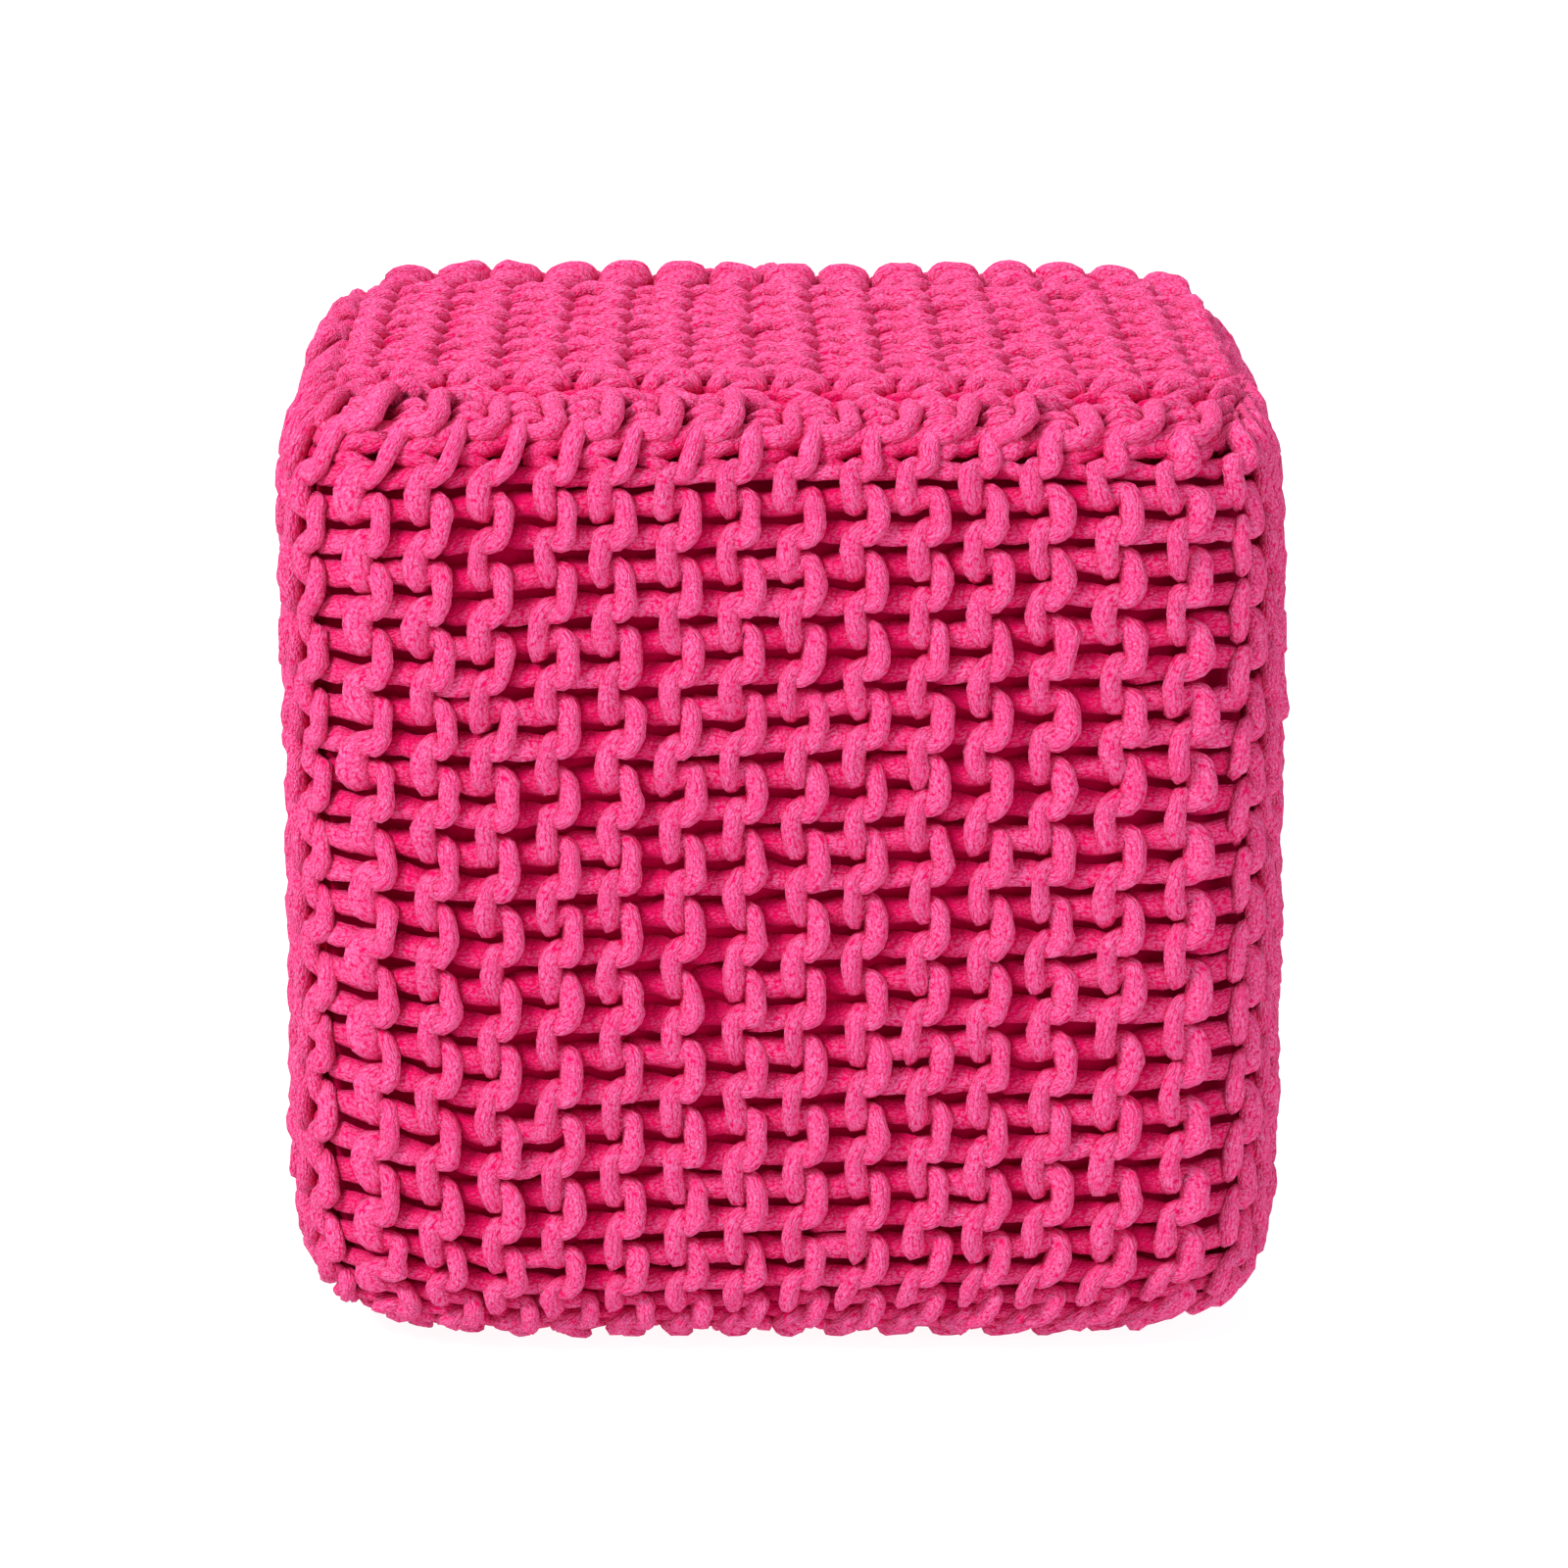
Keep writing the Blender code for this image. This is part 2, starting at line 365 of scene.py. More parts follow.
# points in the middle of the yarn, in mm: across, along and out from the surface, then width and thickness
HEAD = (
    (-21.0, 5.6, -13.5, 8.4, 6.6),
    (-16.4, 6.0, -9.6, 8.8, 6.8),
    (-12.4, 6.1, -8.0, 9.4, 7.0),
    (-8.6, 6.2, -7.6, 10.0, 7.2),
    (-5.0, 6.3, -7.4, 10.6, 7.4),
    (-1.4, 6.8, -7.2, 10.0, 7.4),
    (1.8, 7.4, -6.3, 9.4, 7.2),
    (3.6, 6.4, -4.7, 9.6, 7.2),
    (4.0, 3.6, -3.8, 10.0, 7.2),
    (4.1, 0.4, -3.6, 10.1, 7.2),
    (4.0, -2.6, -3.5, 10.1, 7.2),
    (3.1, -5.0, -3.4, 9.8, 7.2),
    (1.2, -6.6, -4.0, 9.2, 7.2),
    (-1.4, -6.8, -5.9, 8.8, 7.2),
    (-4.8, -6.4, -7.2, 9.0, 7.4),
    (-8.6, -6.0, -7.6, 9.8, 7.2),
    (-12.4, -5.9, -8.0, 10.6, 7.0),
    (-16.4, -5.9, -9.6, 11.2, 6.8),
    (-21.0, -5.9, -13.5, 9.8, 6.6),
)
LOOP = (
    (3.2, -5.6, -11.6, 7.8, 7.2),
    (2.0, -5.0, -9.0, 8.2, 7.2),
    (-0.2, -4.8, -6.2, 9.0, 7.2),
    (-2.7, -5.8, -4.5, 9.6, 7.2),
    (-4.2, -8.6, -3.8, 9.9, 7.2),
    (-4.6, -12.0, -3.6, 10.0, 7.2),
    (-4.4, -14.9, -3.7, 10.0, 7.2),
    (-4.0, -17.5, -4.3, 9.7, 7.2),
    (-3.4, -19.6, -6.2, 9.2, 7.2),
    (-1.8, -20.2, -9.2, 8.2, 7.2),
    (0.8, -19.2, -12.4, 7.8, 7.2),
)


def knot(name, *strands):
    """One shape of stitch, of one or more strands, each with its number of steps along."""
    sheet = bmesh.new()
    sheet.loops.layers.uv.new("yarn")
    for points, steps in strands:
        strand(sheet, np.array(points) * MM, steps)
    bmesh.ops.recalc_face_normals(sheet, faces=sheet.faces)
    mesh = bpy.data.meshes.new(name)
    sheet.to_mesh(mesh)
    sheet.free()
    return mesh


stitch = knot("stitch", (HEAD, 24), (LOOP, 12))

# how far a stitch strays, at most twice as much as this: moved and turned, in stitches and rows
MOVED = 0.022
TURNED = (0.05, 0.03)
LARGEST_STRAY = 2
# lifted and rolled, in metres
LIFTED = 0.0003
ROLLED = 0.002
# bent across, along and out in three waves, and how far round the first and each next one goes in a stitch
BENT = (0.014, 0.012, 0.00025)
FIRST_WAVE = 5.0
NEXT_WAVE = 3.5
# the yarn's own lumps, in metres
YARN_LUMPS = 0.00016


def set_out(name, shape, ridges, rows):
    """Copies one stitch into rows and ridges by two arrays, all still flat."""
    flat = bpy.data.objects.new(name, shape)
    bpy.context.scene.collection.objects.link(flat)
    arrays = (("rows", rows, (0, STITCH_LENGTH, 0)), ("ridges", ridges, (STITCH_WIDTH, 0, 0)))
    for label, count, offset in arrays:
        array = flat.modifiers.new(label, "ARRAY")
        array.count = count
        array.use_relative_offset = False
        array.use_constant_offset = True
        array.constant_offset_displace = offset
    bpy.context.view_layer.update()
    evaluated = flat.evaluated_get(bpy.context.evaluated_depsgraph_get())
    mesh = bpy.data.meshes.new_from_object(evaluated)
    mesh.name = name
    bpy.data.objects.remove(flat)
    return mesh


def loosen(own_x, own_y, lift, random, loose):
    """Bends and turns each stitch a little, and moves it out of place, so that no two are alike."""
    ridges, rows = lift.shape[:2]
    each = random.normal(size=(ridges, rows, 8, 1)).clip(-LARGEST_STRAY, LARGEST_STRAY)
    each *= loose
    x, y, lift = own_x.copy(), own_y.copy(), lift.copy()
    for wave in range(3):
        angle = random.uniform(0, 2 * np.pi, (ridges, rows, 1))
        start = random.uniform(0, 2 * np.pi, (ridges, rows, 3, 1))
        swing = (own_x * np.cos(angle) + own_y * np.sin(angle)) * (FIRST_WAVE + NEXT_WAVE * wave)
        x += np.sin(swing + start[:, :, 0]) * BENT[0] * loose
        y += np.sin(swing + start[:, :, 1]) * BENT[1] * loose
        lift += np.sin(swing + start[:, :, 2]) * BENT[2]
    x += each[:, :, 0] * MOVED + each[:, :, 1] * TURNED[0] * own_y
    y += each[:, :, 2] * MOVED + each[:, :, 3] * TURNED[1] * own_x
    lift += each[:, :, 4] * LIFTED + each[:, :, 5] * ROLLED * own_x
    lumps = random.normal(size=(3, *lift.shape)).clip(-LARGEST_STRAY, LARGEST_STRAY) * YARN_LUMPS
    x += lumps[0] / STITCH_WIDTH
    y += lumps[1] / STITCH_LENGTH
    lift += lumps[2]
    return x, y, lift


def knit(name, shape, skin, ridges, rows, seed, first, shaping, loose=1.0):
    """A stretch of knitting, laid on the surface from its first ridge and row on."""
    mesh = set_out(name, shape, ridges, rows)
    points = np.empty(len(mesh.vertices) * 3)
    mesh.vertices.foreach_get("co", points)
    points = points.reshape(ridges, rows, -1, 3)
    middle_x = np.arange(ridges)[:, None, None] + 0.5
    middle_y = np.arange(rows)[None, :, None] + 0.5
    own_x = points[..., 0] / STITCH_WIDTH + 0.5 - middle_x
    own_y = points[..., 1] / STITCH_LENGTH + 0.5 - middle_y
    random = np.random.default_rng(seed)
    x, y, lift = loosen(own_x, own_y, points[..., 2], random, loose)

    middle_x = middle_x + first[0]
    middle_y = middle_y + first[1]
    x, y, lift = shaping(x, y, lift, middle_x, middle_y)
    points = skin.at(x + middle_x, y + middle_y, lift)
    points[..., 2] = np.maximum(points[..., 2], 0.0)
    mesh.vertices.foreach_set("co", points.ravel())
    # how deep the yarn lies below the surface after shaping, in mm; the material paints shade from it
    depth = mesh.attributes.new("depth", "FLOAT", "POINT")
    depth.data.foreach_set("value", (-lift / MM).ravel())

    # each stitch has a stretch of yarn of its own
    layer = mesh.uv_layers["yarn"]
    uvs = np.empty(len(layer.uv) * 2)
    layer.uv.foreach_get("vector", uvs)
    uvs = uvs.reshape(ridges * rows, -1, 2)
    uvs += random.random((ridges * rows, 1, 2))
    layer.uv.foreach_set("vector", uvs.ravel())
    mesh.shade_smooth()
    mesh.update()
    piece = bpy.data.objects.new(name, mesh)
    bpy.context.scene.collection.objects.link(piece)
    piece.data.materials.append(yarn)
    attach(piece, ROOT)
    return piece


# ---- The side of the cover --------------------------------------------------------------------------------
# One knitted strip that goes all the way round, 60 ridges in all, sewn to the squares on the rounded edges
# above and below. It is drawn in four stretches, one for each face of the cube.

RIDGES_A_SIDE = 15
SIDE_RIDGES = 4 * RIDGES_A_SIDE
SIDE_ROWS = 16
SKIN_STEPS = 6
EDGE_STEPS = 40
PROFILE_STEPS = 160


def side_skin():
    """The surface from the bottom seam up to the top one, ruled evenly along its own height."""
    ring = outline((np.arange(SIDE_RIDGES * SKIN_STEPS + 1) / SKIN_STEPS - 0.5) / SIDE_RIDGES)
    edge = np.linspace(0, 1, EDGE_STEPS + 1)
    below = [(1 - share, -1.0) for share in edge]
    beside = [(0.0, up) for up in np.linspace(-1, 1, PROFILE_STEPS + 1)[1:-1]]
    above = [(share, 1.0) for share in edge]
    lines = np.stack([
        body_point(seam_plan(ring, share, up), np.full(len(ring), up)) for share, up in below + beside + above
    ])
    run = np.cumsum(np.linalg.norm(np.diff(lines, axis=0), axis=-1), axis=0)
    run = np.vstack([np.zeros((1, len(ring))), run]) / run[-1]
    even = np.linspace(0, 1, PROFILE_STEPS + 1)
    points = np.stack([
        np.stack([np.interp(even, run[:, place], lines[:, place, axis]) for axis in range(3)], axis=-1)
        for place in range(len(ring))
    ], axis=1)
    return Skin(points, SIDE_RIDGES, SIDE_ROWS, True)


side = side_skin()

# how far the ridges stand from where even spacing puts them, round from the front left corner
SPREAD_AT = (0.5, 1.5, 2.5, 7.5, 12.5, 13.5, 14.5, 15.5, 16.5, 30.5, 45.5, 59.5, 60.5)
SPREAD = (-0.50, -0.08, -0.04, -0.16, -0.28, -0.16, -0.05, 0.30, 0.24, 0.10, -0.15, -0.36, -0.50)
# how far the rows have slipped down, by ridge and by row, in rows
SLIP_RIDGE_AT = (0.0, 3.0, 7.0, 11.0, 15.0, 60.0)
SLIP_RIDGE = (0.24, 0.13, 0.0, -0.11, -0.13, 0.24)
SLIP_ROW_AT = (0.0, 1.5, 2.5, 3.5, 5.5, 7.5, 9.5, 11.5, 16.0)
SLIP_ROW = (0.0, 0.12, 0.26, 0.25, 0.17, 0.10, 0.04, 0.01, 0.0)
# the last row is drawn up long into the seam, and the first ones lean over the bottom edge
LAST_ROW = SIDE_ROWS - 1.7
LAST_DRAWN_UP = 2.0
LAST_LEAN = 0.05
FIRST_LEAN = 0.40
FIRST_LEAN_TO = 3.0
# the ridges nearest to the front left corner twist: by this much a row, over the rows below the highest one
TWIST = 0.042
TWIST_TO = 2.6
TWIST_BELOW = 13.0
TWIST_ROWS = 8.0
# how far the ends of the ridges are sunk at the bottom seam, in metres, and below which row
BASE_SUNK = 0.0042
BASE_ROW = 1.25
# round the corners of the pouf the legs are drawn tight, and those deeper than this lie nearer the surface
LEG_DEPTH = 0.004
LEGS_RAISED = 0.70
CORNER_REACH = 1.2


def fade(value, end, over):
    """1 well below a value's end, and from there down to 0 at it."""
    return np.clip((end - value) / over, 0, 1)


def round_side(x, middle_x):
    """Places round the side, counted in ridges from the front left corner."""
    return np.mod(x + middle_x - 0.5, SIDE_RIDGES) + 0.5


def off_corner(places, apart):
    """How many ridges a place is from the nearest corner, where corners come every so many ridges."""
    return np.abs(np.mod(places - 0.5 + apart / 2, apart) - apart / 2)


def side_shaping(x, y, lift, middle_x, middle_y):
    last = middle_y > LAST_ROW
    y = np.where(last & (y > 0), y * LAST_DRAWN_UP, y)
    x = x + np.where(last, LAST_LEAN, 0.0) * y
    x = x + FIRST_LEAN * fade(middle_y, FIRST_LEAN_TO, 2.0) * y
    places = round_side(x, middle_x)
    rows = y + middle_y
    x = x + np.interp(places, SPREAD_AT, SPREAD)

    twist = TWIST * fade(off_corner(places, SIDE_RIDGES), TWIST_TO, 2.0)
    twist = twist * np.clip(TWIST_BELOW - rows, 0, TWIST_ROWS)
    slip = np.interp(places, SLIP_RIDGE_AT, SLIP_RIDGE) * np.clip(rows / 3, 0, 1) * fade(rows, SIDE_ROWS, 2.0)
    y = y - slip - np.interp(rows, SLIP_ROW_AT, SLIP_ROW) + twist

    lift = lift - BASE_SUNK * fade(rows, BASE_ROW, 0.7)
    deep = np.clip(-LEG_DEPTH - lift, 0, None)
    near_corner = np.exp(-(off_corner(places, RIDGES_A_SIDE) ** 2) / CORNER_REACH)
    return x, y, lift + deep * LEGS_RAISED * near_corner


SIDE_SEED = 10
for number, face in enumerate(("front", "right", "back", "left")):
    first = (number * RIDGES_A_SIDE, 0)
    seed = SIDE_SEED + number
    piece = knit(f"knit_{face}", stitch, side, RIDGES_A_SIDE, SIDE_ROWS - 1, seed, first, side_shaping)
    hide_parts("side_band")


# ---- The seam along the bottom ----------------------------------------------------------------------------
# The strip is sewn to the square underneath with one short, fat stitch to a ridge. They are what the pouf
# stands on, and they show as a row of round bumps along its lower edge.

BUMP = (
    (-3.6, 8.5, -10.0, 8.0, 7.6),
    (-4.4, 5.0, -5.8, 9.2, 8.2),
    (-4.8, 1.4, -4.6, 10.0, 8.4),
    (-4.8, -2.4, -4.8, 9.8, 8.4),
    (-4.2, -6.0, -6.6, 9.0, 8.4),
    (-3.4, -8.5, -10.5, 7.6, 7.4),
)
BUMP_BEHIND = (
    (3.0, 2.0, -10.0, 6.6, 6.4),
    (5.6, -0.6, -7.2, 7.2, 6.8),
    (9.6, -1.0, -7.0, 7.4, 6.8),
    (12.6, 1.0, -10.0, 6.6, 6.4),
)
bump = knot("bump", (BUMP, 9), (BUMP_BEHIND, 6))
BUMP_ROW = 0.05


def bump_shaping(x, y, lift, middle_x, middle_y):
    # each bump stands under its own ridge
    return x + np.interp(round_side(x, middle_x), SPREAD_AT, SPREAD), y, lift


BUMP_SEED = 31
piece = knit("seam_bottom", bump, side, SIDE_RIDGES, 1, BUMP_SEED, (0, BUMP_ROW), bump_shaping)
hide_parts("side_band")


# ---- The seam along the top -------------------------------------------------------------------------------
# The edge of the strip is sewn to the square with the same yarn: one fat hook of yarn to a ridge, which comes
# over the edge from the top and curls back under to the left, with short lengths of yarn tucked in behind it.

HOOK = (
    (14.6, 30.0, -11.0, 7.0, 7.4),
    (14.8, 23.0, -5.2, 8.0, 7.6),
    (15.0, 15.0, -2.4, 8.6, 7.8),
    (15.2, 7.0, -1.6, 8.8, 7.8),
    (15.2, -1.0, -1.6, 8.8, 7.8),
    (14.6, -7.5, -1.6, 9.0, 7.8),
    (12.0, -12.0, -1.8, 9.2, 7.8),
    (8.2, -13.8, -2.4, 9.4, 7.8),
    (4.8, -12.6, -4.4, 9.2, 7.6),
    (3.0, -9.6, -8.4, 8.2, 7.2),
)
TUCKS = (
    (
        (-2.5, 6.0, -9.0, 8.0, 7.0),
        (2.0, 7.4, -4.8, 8.4, 7.0),
        (6.0, 7.4, -3.8, 8.4, 7.0),
        (11.0, 5.6, -7.0, 8.0, 7.0),
    ),
    (
        (-2.5, -3.0, -9.0, 8.2, 7.0),
        (2.5, -1.8, -5.4, 8.4, 7.2),
        (7.0, -1.6, -4.6, 8.4, 7.2),
        (12.0, -3.0, -8.0, 8.0, 7.0),
    ),
    (
        (14.5, 16.0, -8.5, 7.6, 7.0),
        (18.5, 17.5, -2.8, 8.0, 7.4),
        (23.5, 17.5, -3.0, 8.0, 7.4),
        (27.5, 15.5, -8.0, 7.6, 7.0),
    ),
    (
        (-3.0, 17.0, -9.0, 8.0, 7.0),
        (2.0, 18.6, -4.2, 8.4, 7.0),
        (7.0, 18.6, -3.8, 8.4, 7.0),
        (12.0, 17.0, -7.0, 8.0, 7.0),
    ),
    (
        (-1.0, -13.6, -9.0, 7.6, 7.0),
        (4.0, -13.0, -5.8, 8.0, 7.0),
        (10.0, -15.0, -5.6, 8.0, 7.0),
        (15.0, -18.0, -9.0, 7.6, 7.0),
    ),
    (
        (-1.0, -23.6, -9.6, 7.6, 7.0),
        (5.0, -22.0, -6.6, 8.4, 7.0),
        (11.0, -18.6, -6.2, 8.4, 7.0),
        (17.0, -15.0, -9.6, 7.6, 7.0),
    ),
    (
        (0.0, -25.0, -9.6, 7.0, 7.0),
        (5.0, -26.4, -7.0, 8.0, 7.0),
        (10.0, -28.6, -7.0, 8.0, 7.0),
        (15.0, -30.0, -9.6, 7.0, 7.0),
    ),
)
hook = knot("hook", (HOOK, 14), *((tuck, 6) for tuck in TUCKS))

# by place round the side: how upright the hooks stand, though the ridges lean in to the right over the edge,
# how far they are sunk, and how much of their stems is left past the seam
UPRIGHT_AT = (0.5, 2.0, 9.0, 15.5, 16.5, 30.0, 31.0, 45.0, 46.0, 59.5, 60.5)
UPRIGHT = (0.10, 0.40, 0.16, 0.12, 0.0, 0.0, 0.0, 0.0, 0.0, 0.0, 0.10)
SUNK_BY = (0.0014, 0.0, 0.0, 0.0006, 0.0026, 0.0028, 0.0032, 0.0032, 0.0034, 0.0034, 0.0014)
STEMS = (0.75, 1.0, 1.0, 0.80, 0.45, 0.45, 0.70, 0.70, 0.45, 0.45, 0.75)
STEM_FROM = 0.25


def seam_shaping(x, y, lift, middle_x, middle_y):
    places = round_side(x, middle_x)
    upright = np.interp(places, UPRIGHT_AT, UPRIGHT)
    lift = lift - np.interp(places, UPRIGHT_AT, SUNK_BY)
    past = np.clip(y - STEM_FROM, 0, None)
    y = y - past * (1 - np.interp(places, UPRIGHT_AT, STEMS))
    return x + np.interp(places, SPREAD_AT, SPREAD) - upright * y, y, lift


HOOK_SEED = 30
HOOKS_LOOSE = 1.15
hooks_at = (0, SIDE_ROWS - 1)
piece = knit("seam_top", hook, side, SIDE_RIDGES, 1, HOOK_SEED, hooks_at, seam_shaping, HOOKS_LOOSE)
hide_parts("side_band")


# ---- The top and bottom of the cover ----------------------------------------------------------------------
# Two knitted squares, 15 ridges from front to back, sewn in on the rounded edges. Their stitches are drawn
# flatter than those of the side. The square underneath is pressed flat by the weight of the pouf.

SQUARE_ROWS = 11
FLAT_HEAD = (
    (-18.0, 6.0, -12.0, 9.6, 6.4),
    (-14.2, 6.1, -7.8, 11.4, 6.6),
    (-10.4, 6.1, -6.4, 11.6, 6.8),
    (-6.4, 5.9, -6.8, 10.0, 6.6),
    (-2.8, 5.6, -7.0, 8.6, 6.4),
    (0.6, 4.6, -6.4, 7.6, 6.4),
    (3.4, 3.0, -5.6, 7.0, 6.4),
    (4.8, 0.4, -4.2, 6.8, 6.6),
    (4.0, -2.4, -2.8, 7.2, 7.0),
    (1.2, -4.4, -2.2, 7.6, 7.2),
    (-2.0, -5.6, -3.8, 8.6, 7.0),
    (-6.0, -6.1, -6.2, 10.0, 6.8),
    (-10.4, -6.1, -6.4, 11.6, 6.8),
    (-14.2, -6.1, -7.8, 11.4, 6.6),
    (-18.0, -6.0, -12.0, 9.6, 6.4),
)
FLAT_LOOP = (
    (5.0, -7.6, -10.0, 7.0, 6.4),
    (3.2, -7.9, -7.8, 7.2, 6.4),
    (0.4, -8.6, -7.0, 7.2, 6.4),
    (-2.8, -10.0, -6.0, 7.0, 6.4),
    (-4.8, -12.6, -4.6, 6.8, 6.6),
    (-4.2, -15.2, -2.7, 7.4, 7.0),
    (-1.6, -17.0, -2.2, 7.8, 7.2),
    (1.8, -17.8, -3.6, 7.8, 7.0),
    (4.8, -18.0, -7.8, 7.4, 6.6),
)
flat_stitch = knot("flat_stitch", (FLAT_HEAD, 20), (FLAT_LOOP, 12))

# where a ridge ends at the front seam: its last strand, arched over the ends of the rows behind it
ARCH = (
    (-8.2, -7.0, -9.0, 6.6, 6.4),
    (-7.6, -4.4, -5.4, 7.0, 6.8),
    (-6.2, -2.2, -3.4, 7.2, 6.8),
    (-3.6, -0.8, -2.8, 7.8, 7.2),
    (0.0, -0.4, -2.3, 8.0, 7.2),
    (3.8, -0.8, -2.8, 7.8, 7.2),
    (6.6, -2.2, -4.6, 7.0, 6.8),
    (8.0, -3.4, -9.5, 6.6, 6.4),
)
# where a ridge ends at the back seam: a flatter arch, with three strands that fill the hollow behind it
BACK_ARCH = (
    (-7.4, 1.0, -11.0, 8.0, 7.4),
    (-7.0, 0.6, -5.0, 8.4, 7.8),
    (-5.2, 0.2, -2.0, 8.6, 7.8),
    (0.0, 0.0, -1.4, 8.8, 7.8),
    (5.2, 0.2, -2.0, 8.6, 7.8),
    (7.0, 0.6, -5.0, 8.4, 7.8),
    (7.4, 1.0, -11.0, 8.0, 7.4),
)
BACK_FILLS = (
    (
        (-8.0, -5.6, -8.0, 7.6, 7.0),
        (-3.4, -6.4, -4.0, 8.6, 7.4),
        (3.4, -6.4, -3.6, 8.6, 7.4),
        (8.0, -5.6, -8.0, 7.6, 7.0),
    ),
    (
        (-12.4, 5.0, -8.0, 7.6, 7.0),
        (-5.0, 5.6, -5.2, 8.4, 7.4),
        (5.0, 6.0, -5.2, 8.4, 7.4),
        (12.4, 5.4, -8.0, 7.6, 7.0),
    ),
    (
        (-12.4, 11.6, -8.0, 7.6, 7.0),
        (-5.0, 12.0, -6.8, 8.4, 7.4),
        (5.0, 11.4, -6.8, 8.4, 7.4),
        (12.4, 11.0, -8.0, 7.6, 7.0),
    ),
)
rib_end = knot("rib_end", (ARCH, 12))
rib_back = knot("rib_back", (BACK_ARCH, 14), *((fill, 8) for fill in BACK_FILLS))
RIB_END_ROW = 1.35
RIB_BACK_ROW = 10.15
RIB_ROWS = 10
RIBS_FROM = 0.25
ALONG_STEPS = 120


def square_skin(up):
    """The surface inside the seam of the top, or of the bottom seen from below."""
    across = np.linspace(-1, 1, RIDGES_A_SIDE * SKIN_STEPS + 1)
    along = np.linspace(-1, 1, ALONG_STEPS + 1)
    plan = np.stack(np.meshgrid(across, along), axis=-1)
    # rounds the corners off smoothly, and leaves the middles of the sides where they are
    plan = plan * (1 - np.abs(plan[..., ::-1]) ** PLAN_POWER / 2) ** (1 / PLAN_POWER)
    if up < 0:
        plan = plan[:, ::-1]
    points = body_point(seam_plan(plan, 1.0, np.full(plan.shape[:2], up)), np.full(plan.shape[:2], up))
    return Skin(points, RIDGES_A_SIDE, SQUARE_ROWS, False)


# how far the top stands proud, in metres, and how much more at its back right corner
TOP_PROUD = 0.0008
CORNER_PROUD = 0.0028
# how the front ends of the ridges are moved and spread, in ridges
FRONT_MOVED = 0.10
FRONT_SPREAD = 0.026
# round the edge the yarn turns down into the seam: from how far in, and how steeply
TURN_DOWN_FRONT = 0.30
TURN_DOWN_BACK = 0.0
TURN_DOWN_SIDES = 0.10
TURN_DOWN = 0.9
# the rows behind the arches of the front edge, and how far they are sunk, in metres
FRONT_ROWS = 2.2
FRONT_SUNK = 0.0034


def top_shaping(x, y, lift, middle_x, middle_y):
    place, row = x + middle_x, y + middle_y
    front = 1 - row / SQUARE_ROWS
    place = place + (FRONT_MOVED + FRONT_SPREAD * (place - RIDGES_A_SIDE / 2)) * front
    to_corner = np.clip((place - 8) / 5, 0, 1) * np.clip((row - 8) / 2.5, 0, 1)
    lift = lift + TOP_PROUD + CORNER_PROUD * to_corner
    for end, away in ((TURN_DOWN_FRONT, row), (TURN_DOWN_BACK, SQUARE_ROWS - row)):
        lift = lift - np.clip(end - away, 0, None) * STITCH_LENGTH * TURN_DOWN
    for away in (place, RIDGES_A_SIDE - place):
        lift = lift - np.clip(TURN_DOWN_SIDES - away, 0, None) * STITCH_WIDTH * TURN_DOWN
    return place - middle_x, row - middle_y, lift


def rows_shaping(x, y, lift, middle_x, middle_y):
    # the first rows are sunk, so that the arches stand over them
    sunk = np.where(middle_y < FRONT_ROWS, FRONT_SUNK * fade(y + middle_y, FRONT_ROWS + 0.15, 0.3), 0)
    return top_shaping(x, y, lift - sunk, middle_x, middle_y)


ABOVE_FLOOR = 0.0002


def bottom_shaping(x, y, lift, middle_x, middle_y):
    # pressed flat against the floor
    return x, y, np.minimum(lift, -ABOVE_FLOOR)


TOP_LOOSE = 0.5
top_skin = square_skin(1.0)
for name, shape, rows, first_row, seed, shaping in (
    ("knit_top", flat_stitch, RIB_ROWS, RIBS_FROM, 20, rows_shaping),
    ("rib_ends_front", rib_end, 1, RIB_END_ROW, 22, top_shaping),
    ("rib_ends_back", rib_back, 1, RIB_BACK_ROW, 23, top_shaping),
):
    piece = knit(name, shape, top_skin, RIDGES_A_SIDE, rows, seed, (0, first_row), shaping, TOP_LOOSE)
    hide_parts("top_square")

under = square_skin(-1.0)
piece = knit("knit_bottom", flat_stitch, under, RIDGES_A_SIDE, SQUARE_ROWS, 21, (0, 0), bottom_shaping)
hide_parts("bottom_square")


# ---- The filled bag inside --------------------------------------------------------------------------------
# The back of the knitting over the filled bag, in the same pink yarn, drawn darker than the yarn as painted
# shade. It only shows in the slits between the stitches, deep in their shade.

BAG_DEPTH = 0.0120
BAG_CUTS = 23
# the bag's colours, darker than the yarn's: painted shade
BAG_SHADE_DARKER = (0.56, 0.001, 0.060, 1.0)
BAG_SHADE_LIGHTER = (0.74, 0.002, 0.090, 1.0)
BAG_PATCHES = 260.0
BAG_LUMPS = 300.0
BAG_ROUGHNESS = 0.95
BAG_SHINE = 0.02


def bag_mesh():
    sheet = bmesh.new()
    bmesh.ops.create_cube(sheet, size=2.0)
    bmesh.ops.subdivide_edges(sheet, edges=sheet.edges, cuts=BAG_CUTS, use_grid_fill=True)
    places = np.array([point.co for point in sheet.verts])
    points = body_point(places[:, :2], places[:, 2])
    middle = np.array([0.0, 0.0, MIDDLE])
    shrink = 1 - BAG_DEPTH / np.array([HALF_PLAN[0], HALF_PLAN[1], HALF_HEIGHT])
    for point, place in zip(sheet.verts, middle + (points - middle) * shrink):
        point.co = place
    bmesh.ops.recalc_face_normals(sheet, faces=sheet.faces)
    mesh = bpy.data.meshes.new("filled_bag")
    sheet.to_mesh(mesh)
    sheet.free()
    mesh.shade_smooth()
    return mesh


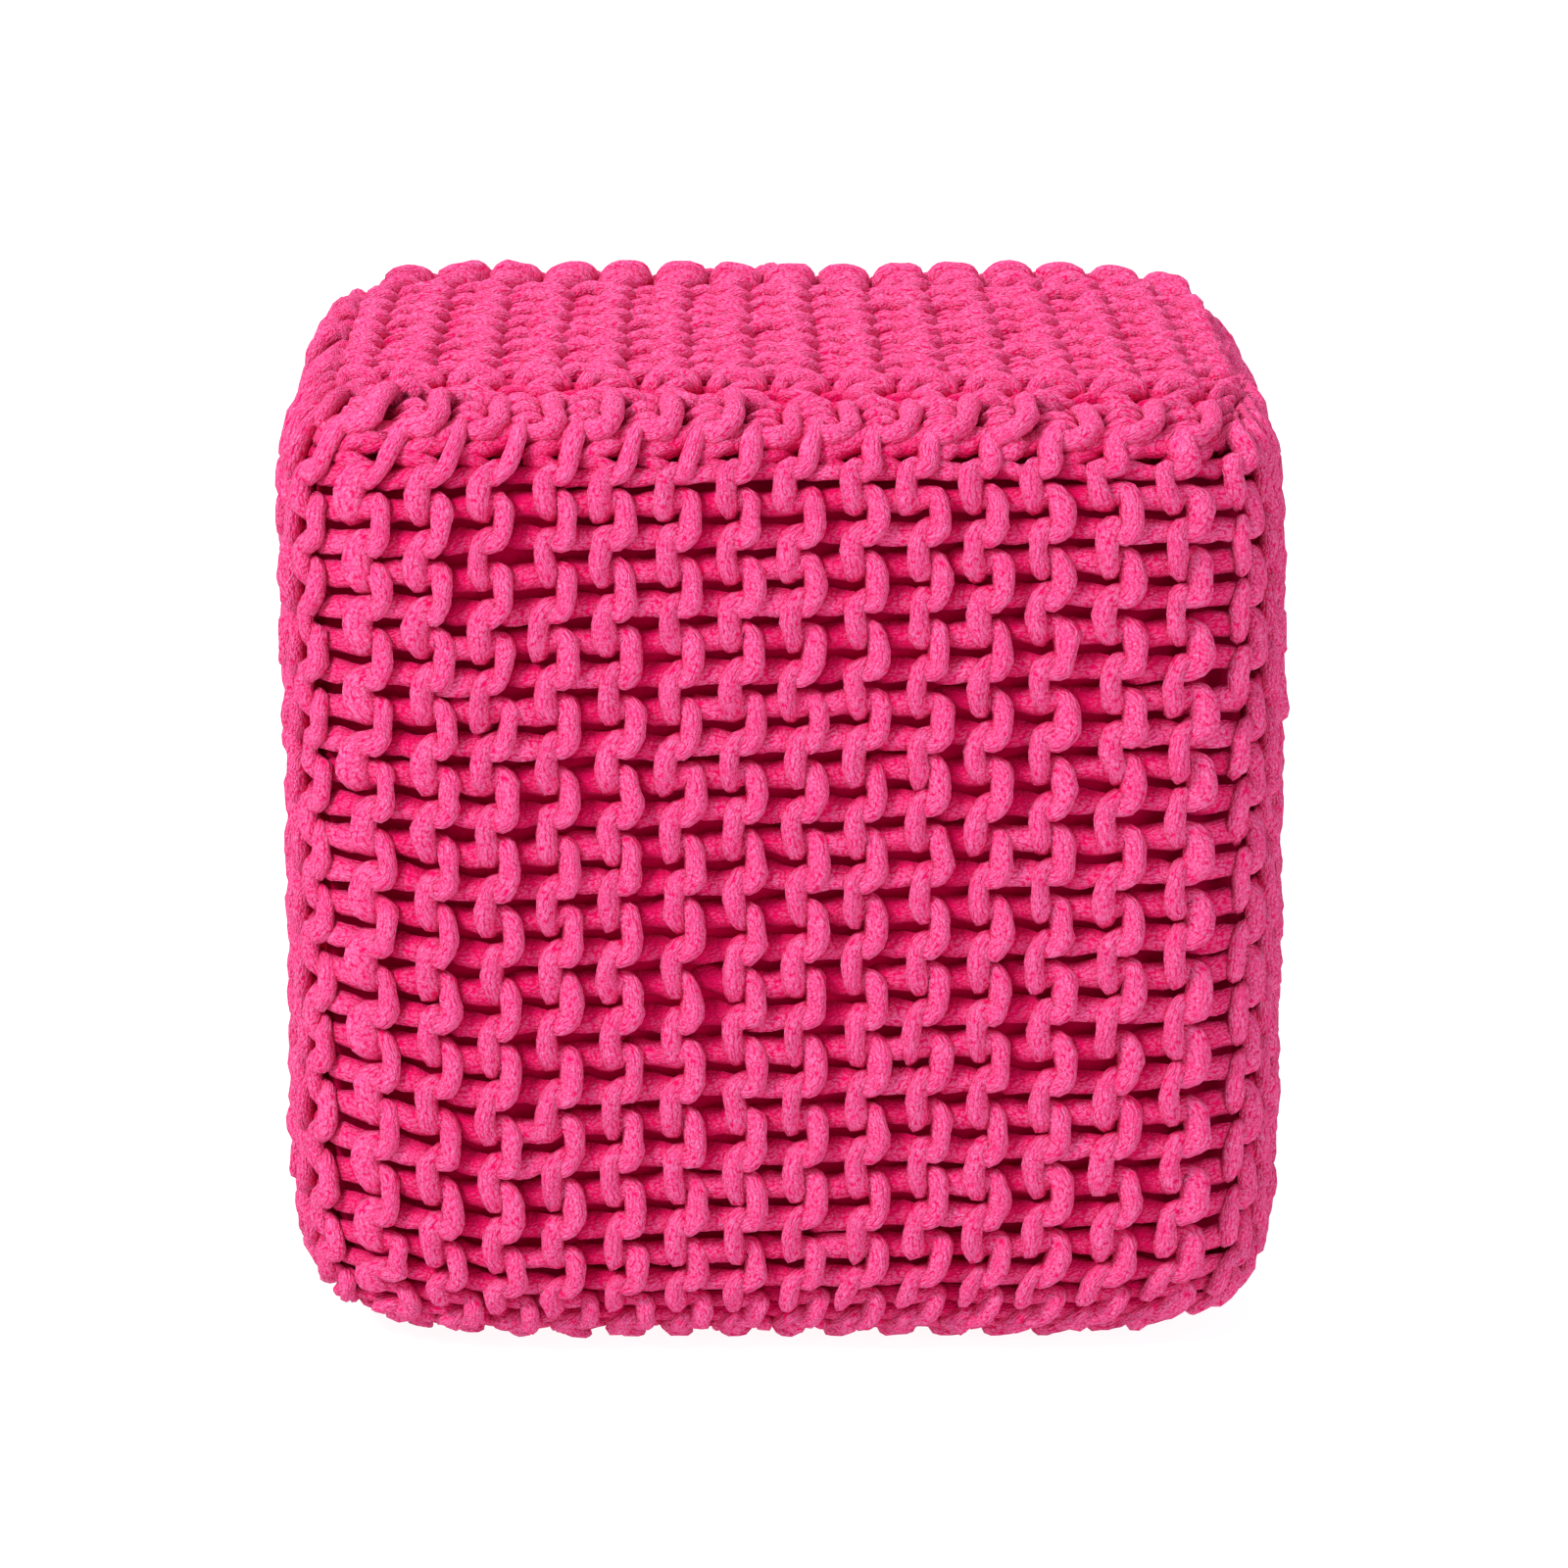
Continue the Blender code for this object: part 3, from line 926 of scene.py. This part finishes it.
def bag_material():
    nodes = Nodes("shaded cotton")
    place = nodes.add("ShaderNodeTexCoord", {}, {}, "Object")
    colour = nodes.mix(nodes.noise(place, BAG_PATCHES), BAG_SHADE_DARKER, BAG_SHADE_LIGHTER)
    lumps = nodes.noise(place, BAG_LUMPS)
    bump = nodes.add("ShaderNodeBump", {}, {"Strength": 0.5, "Distance": MM, "Height": lumps})
    nodes.fill(nodes.shader, {
        "Base Color": colour,
        "Normal": bump,
        "Roughness": BAG_ROUGHNESS,
        "Specular IOR Level": BAG_SHINE,
    })
    return nodes.material


bag = bpy.data.objects.new("filled_bag", bag_mesh())
bpy.context.scene.collection.objects.link(bag)
bag.data.materials.append(bag_material())
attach(bag, ROOT)
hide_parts("side_band")


# ---- The floor, the light and the camera ------------------------------------------------------------------
# A plain white floor under broad, soft lights, and a long lens a little above the pouf, which looks at its
# front almost square on.

CAMERA_PLACE = (-0.0207, -2.467, 0.7673)
CAMERA_DOWN = math.radians(13.61)
CAMERA_TURN = math.radians(-0.5)
CAMERA_LENS = 155.0
SENSOR_WIDTH = 36.0
FLOOR_REACH = 30.0
FLOOR_BELOW = 0.0005
FLOOR_GREY = (0.22, 0.22, 0.22, 1.0)
FLOOR_GLOW = 0.92
SKY = 0.46
WHITE = (1.0, 1.0, 1.0, 1.0)
MIDDLE_OF_POUF = Vector((0, 0, 0.17))

floor_sheet = bmesh.new()
bmesh.ops.create_grid(floor_sheet, x_segments=1, y_segments=1, size=FLOOR_REACH)
floor_mesh = bpy.data.meshes.new("floor")
floor_sheet.to_mesh(floor_mesh)
floor_sheet.free()
floor = bpy.data.objects.new("floor", floor_mesh)
floor.location.z = -FLOOR_BELOW
bpy.context.scene.collection.objects.link(floor)
floor_nodes = Nodes("white floor")
floor_nodes.fill(floor_nodes.shader, {
    "Base Color": FLOOR_GREY,
    "Roughness": 0.9,
    "Emission Color": WHITE,
    "Emission Strength": FLOOR_GLOW,
})
floor.data.materials.append(floor_nodes.material)

for name, place, size, power in (
    ("key light", (-2.3, -2.0, 2.6), 1.1, 134.0),
    ("fill light", (2.4, -2.8, 1.5), 2.0, 33.0),
    ("top light", (-0.3, 1.5, 3.0), 1.4, 66.0),
):
    data = bpy.data.lights.new(name, "AREA")
    data.shape = "SQUARE"
    data.size = size
    data.energy = power
    light = bpy.data.objects.new(name, data)
    light.location = place
    light.rotation_euler = (MIDDLE_OF_POUF - Vector(place)).to_track_quat("-Z", "Y").to_euler()
    bpy.context.scene.collection.objects.link(light)

world = bpy.data.worlds.new("studio")
world.use_nodes = True
world.node_tree.nodes["Background"].inputs["Color"].default_value = WHITE
world.node_tree.nodes["Background"].inputs["Strength"].default_value = SKY
bpy.context.scene.world = world
bpy.context.scene.view_settings.view_transform = "Standard"

camera_data = bpy.data.cameras.new("camera")
camera_data.lens = CAMERA_LENS
camera_data.sensor_width = SENSOR_WIDTH
camera = bpy.data.objects.new("camera", camera_data)
camera.location = CAMERA_PLACE
camera.rotation_euler = (math.pi / 2 - CAMERA_DOWN, 0.0, CAMERA_TURN)
bpy.context.scene.collection.objects.link(camera)
bpy.context.scene.camera = camera
